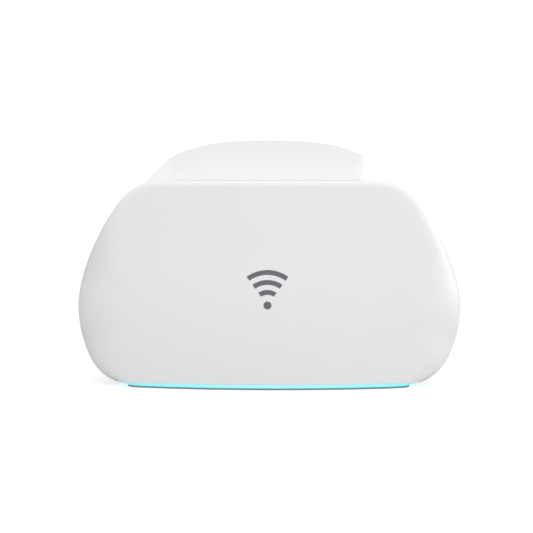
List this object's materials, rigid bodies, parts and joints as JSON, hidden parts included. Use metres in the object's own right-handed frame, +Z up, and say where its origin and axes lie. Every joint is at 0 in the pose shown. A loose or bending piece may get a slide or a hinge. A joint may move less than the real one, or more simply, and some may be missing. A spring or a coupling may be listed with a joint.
{
  "type": "wireless router",
  "caption": "Upright wireless router with a curved front cover, a domed rear housing, a light strip along the foot, and rear network and power sockets.",
  "frame": {"origin": "centre of the bounding box in plan, on the surface the router stands on", "axes": "+Z up, +X along the router's width, -Y out of its front face"},
  "size_m": [0.2, 0.086, 0.1268],
  "materials": {
    "white_plastic": "satin, fine moulded",
    "panel_plastic": "satin",
    "dark_plastic": "satin",
    "light_plastic": "frosted, lit cyan from inside",
    "foot_rubber": "matte",
    "emblem_grey": "satin print",
    "board_green": "solder mask",
    "board_white": "solder mask",
    "led_lens": "phosphor lens",
    "shield_steel": "tin plated",
    "pad_blue": "soft",
    "sink_aluminium": "anodised",
    "chip_black": "moulded",
    "capacitor_dark": "sleeved",
    "inductor_grey": "ferrite",
    "jack_blue": "moulded",
    "jack_yellow": "moulded",
    "contact_gold": "plated",
    "contact_nickel": "plated",
    "led_green": "clear lens",
    "plunger_white": "moulded",
    "button_dark": "satin",
    "frame_grey": "moulded",
    "antenna_board": "solder mask and copper",
    "cable_black": "jacket",
    "screw_steel": "zinc plated"
  },
  "bodies": {
    "chassis": {"front_cover": "white_plastic", "rear_housing": "white_plastic", "vent_panel": "panel_plastic", "port_plate": "panel_plastic", "base_plate": "dark_plastic", "light_guide": "light_plastic", "foot_pad": "foot_rubber", "emblem": "emblem_grey", "main_board": "board_green", "led_board": "board_white", "status_leds": "led_lens", "processor_shield": "shield_steel", "radio_shields": "shield_steel", "thermal_pad": "pad_blue", "heat_sink": "sink_aluminium", "board_chips": "chip_black", "power_capacitors": "capacitor_dark", "power_inductors": "inductor_grey", "lan_transformers": "chip_black", "wan_jack": "jack_blue", "lan_jacks": "jack_yellow", "wan_contacts": "contact_gold", "lan_contacts": "contact_gold", "jack_leds": "led_green", "dc_jack": "chip_black", "dc_contacts": "contact_nickel", "power_switch": "chip_black", "pair_switch": "shield_steel", "reset_switch": "shield_steel", "antenna_frame": "frame_grey", "rf_connectors": "contact_gold", "cover_screws": "screw_steel", "board_screws": "screw_steel", "frame_screws": "screw_steel", "antenna_1": "antenna_board", "antenna_cable_1": "cable_black", "antenna_2": "antenna_board", "antenna_cable_2": "cable_black", "antenna_3": "antenna_board", "antenna_cable_3": "cable_black", "antenna_4": "antenna_board", "antenna_cable_4": "cable_black"},
    "power": {"power_button": "button_dark", "power_plunger": "plunger_white"},
    "pair": {"pair_button": "button_dark", "pair_plunger": "chip_black"},
    "reset": {"reset_plunger": "chip_black"}
  },
  "joints": [
    {"name": "power_press", "type": "slide", "parent": "chassis", "child": "power", "axis": [0, -1, 0], "range_m": [0, 0.002], "stiffness_N_per_m": 1000},
    {"name": "pair_press", "type": "slide", "parent": "chassis", "child": "pair", "axis": [0, -1, 0], "range_m": [0, 0.0005], "stiffness_N_per_m": 3000},
    {"name": "reset_press", "type": "slide", "parent": "chassis", "child": "reset", "axis": [0, -1, 0], "range_m": [0, 0.0003], "stiffness_N_per_m": 4000}
  ]
}
